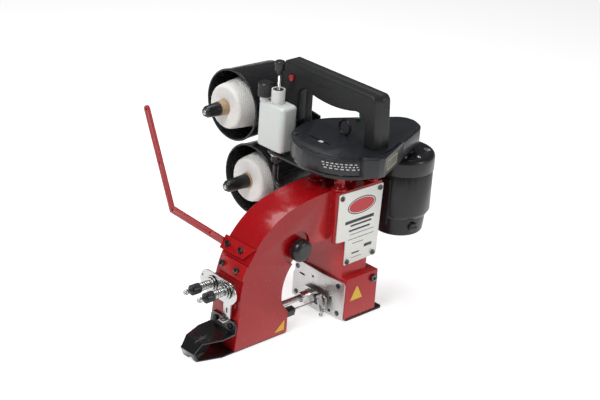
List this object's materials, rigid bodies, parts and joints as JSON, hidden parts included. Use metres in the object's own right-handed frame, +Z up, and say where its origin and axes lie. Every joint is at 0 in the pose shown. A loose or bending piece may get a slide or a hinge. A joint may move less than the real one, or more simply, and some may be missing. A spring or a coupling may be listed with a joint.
{
  "type": "bag closer sewing machine",
  "caption": "Portable bag closing sewing machine: C-shaped cast body, looper base, vertical motor, belt cover, D-handle, thread cups and oil bottle",
  "frame": {"origin": "on the bench plane under the looper base, on the main shaft axis", "axes": "+Z up, +X from the needle leg to the looper base, -Y towards the side with the name plate"},
  "size_m": [0.3898, 0.3094, 0.323],
  "materials": {
    "red_paint": "gloss enamel on cast aluminium",
    "black_paint": "satin black enamel",
    "cover_plastic": "dark grey pressed cover",
    "black_plastic": "moulded black plastic",
    "bright_steel": "ground steel",
    "chrome": "polished plating",
    "black_steel": "blackened steel",
    "plain_steel": "zinc plated",
    "aluminium": "turned aluminium",
    "belt_rubber": "moulded rubber",
    "red_button": "gloss",
    "green_trigger": "gloss",
    "milky_plastic": "translucent polyethylene",
    "thread": "wound cotton thread",
    "cone_card": "card cone",
    "plate_print": "printed satin plate"
  },
  "bodies": {
    "frame": {"frame_casting": "red_paint", "rear_cover": "red_paint", "leg_side_cover": "red_paint", "thread_guide_bar": "red_paint", "leg_foot": "black_paint", "base_plate": "black_paint", "throat_plate": "bright_steel", "presser_spring": "black_steel", "ball_bearings": "bright_steel", "timing_belt": "belt_rubber", "motor_bell": "black_paint", "motor_drum": "black_paint", "motor_cap": "black_paint", "motor_stator": "bright_steel", "brush_sets": "black_plastic", "deck_plate": "black_paint", "belt_cover": "cover_plastic", "cover_corner": "black_paint", "cover_thread_ring": "black_steel", "handle_left": "black_plastic", "handle_right": "black_plastic", "switch_unit": "black_plastic", "oil_bottle": "milky_plastic", "oil_fitting": "bright_steel", "oil_hose": "belt_rubber", "bottle_bracket": "black_paint", "thread_cups": "black_paint", "thread_cones": "thread", "cone_cores": "cone_card", "spool_spindles": "bright_steel", "cup_bracket": "black_paint", "tension_bracket": "chrome", "tension_studs": "chrome", "tension_springs": "black_steel", "name_plate": "plate_print", "socket_screws": "black_steel", "flat_screws": "plain_steel"},
    "shaft": {"main_shaft": "bright_steel", "driven_pulley": "aluminium"},
    "motor_rotor": {"motor_armature": "bright_steel", "motor_pulley": "aluminium"},
    "lever": {"needle_lever": "bright_steel"},
    "needle_slide": {"needle_bar": "bright_steel", "needle_clamp_nut": "black_steel", "needle": "bright_steel"},
    "rod": {"connecting_rod": "bright_steel"},
    "hook": {"looper": "bright_steel", "looper_shaft": "bright_steel"},
    "feed": {"feed_dog": "bright_steel"},
    "presser": {"presser_bar": "bright_steel", "presser_foot": "chrome"},
    "trigger_body": {"trigger": "green_trigger"},
    "lock_body": {"lock_button": "red_button"},
    "pump": {"oil_pump": "bright_steel"},
    "filler": {"filler_cap": "black_plastic"},
    "upper_knob": {"upper_spool_knob": "black_plastic"},
    "lower_knob": {"lower_spool_knob": "black_plastic"},
    "front_nut": {"front_tension_nut": "black_steel"},
    "rear_nut": {"rear_tension_nut": "black_steel"},
    "pivot": {"pivot_knob": "black_plastic"}
  },
  "joints": [
    {"name": "main_shaft_spin", "type": "hinge", "parent": "frame", "child": "shaft", "pos_m": [0, 0, 0.12], "axis": [0, 0, 1], "continuous": true},
    {"name": "motor_spin", "type": "hinge", "parent": "frame", "child": "motor_rotor", "pos_m": [0.098, -0.016, 0.16], "axis": [0, 0, 1], "continuous": true},
    {"name": "needle_lever_rock", "type": "hinge", "parent": "frame", "child": "lever", "pos_m": [-0.0934, -0.006, 0.117], "axis": [0, -1, 0], "range_deg": [-1.15, 12.2]},
    {"name": "needle_bar_slide", "type": "slide", "parent": "frame", "child": "needle_slide", "axis": [1, 0, 0], "range_m": [-0.0026, 0.0242]},
    {"name": "connecting_rod_slide", "type": "slide", "parent": "frame", "child": "rod", "axis": [1, 0, 0], "range_m": [-0.0076, 0.0008]},
    {"name": "looper_swing", "type": "hinge", "parent": "frame", "child": "hook", "pos_m": [0.012, 0.024, 0.017], "axis": [0, 0, 1], "range_deg": [-3, 24]},
    {"name": "feed_slide", "type": "slide", "parent": "frame", "child": "feed", "axis": [0, 1, 0], "range_m": [-0.0005, 0.005]},
    {"name": "presser_lift", "type": "slide", "parent": "frame", "child": "presser", "axis": [-1, 0, 0], "range_m": [0, 0.01], "stiffness_N_per_m": 500, "deforming": ["presser_spring"]},
    {"name": "trigger_pull", "type": "slide", "parent": "frame", "child": "trigger_body", "axis": [0, 0, 1], "range_m": [0, 0.004], "stiffness_N_per_m": 400},
    {"name": "lock_button_press", "type": "slide", "parent": "frame", "child": "lock_body", "axis": [1, 0, 0], "range_m": [0, 0.0025], "stiffness_N_per_m": 400},
    {"name": "oil_pump_stroke", "type": "slide", "parent": "frame", "child": "pump", "axis": [0, 0, -1], "range_m": [0, 0.018], "stiffness_N_per_m": 150},
    {"name": "filler_cap_turn", "type": "hinge", "parent": "frame", "child": "filler", "pos_m": [-0.0438, 0.1054, 0.28], "axis": [0, 0, 1], "continuous": true},
    {"name": "upper_spool_knob_turn", "type": "hinge", "parent": "frame", "child": "upper_knob", "pos_m": [-0.07, 0.18, 0.231], "axis": [1, 0, 0], "continuous": true},
    {"name": "lower_spool_knob_turn", "type": "hinge", "parent": "frame", "child": "lower_knob", "pos_m": [-0.06, 0.1368, 0.1385], "axis": [1, 0, 0], "continuous": true},
    {"name": "front_tension_nut_turn", "type": "hinge", "parent": "frame", "child": "front_nut", "pos_m": [-0.224, -0.007, 0.082], "axis": [1, 0, 0], "continuous": true},
    {"name": "rear_tension_nut_turn", "type": "hinge", "parent": "frame", "child": "rear_nut", "pos_m": [-0.224, 0.019, 0.082], "axis": [1, 0, 0], "continuous": true},
    {"name": "pivot_knob_turn", "type": "hinge", "parent": "frame", "child": "pivot", "pos_m": [-0.0934, -0.03, 0.117], "axis": [0, 1, 0], "continuous": true}
  ],
  "couplings": [
    {"joint": "motor_spin", "follows": "main_shaft_spin", "ratio": 3.75},
    {"joint": "needle_bar_slide", "follows": "needle_lever_rock", "m_per_rad": 0.1122},
    {"joint": "connecting_rod_slide", "follows": "needle_lever_rock", "m_per_rad": -0.034},
    {"joint": "looper_swing", "follows": "needle_lever_rock", "ratio": 1.8},
    {"joint": "feed_slide", "follows": "needle_lever_rock", "m_per_rad": 0.02}
  ]
}
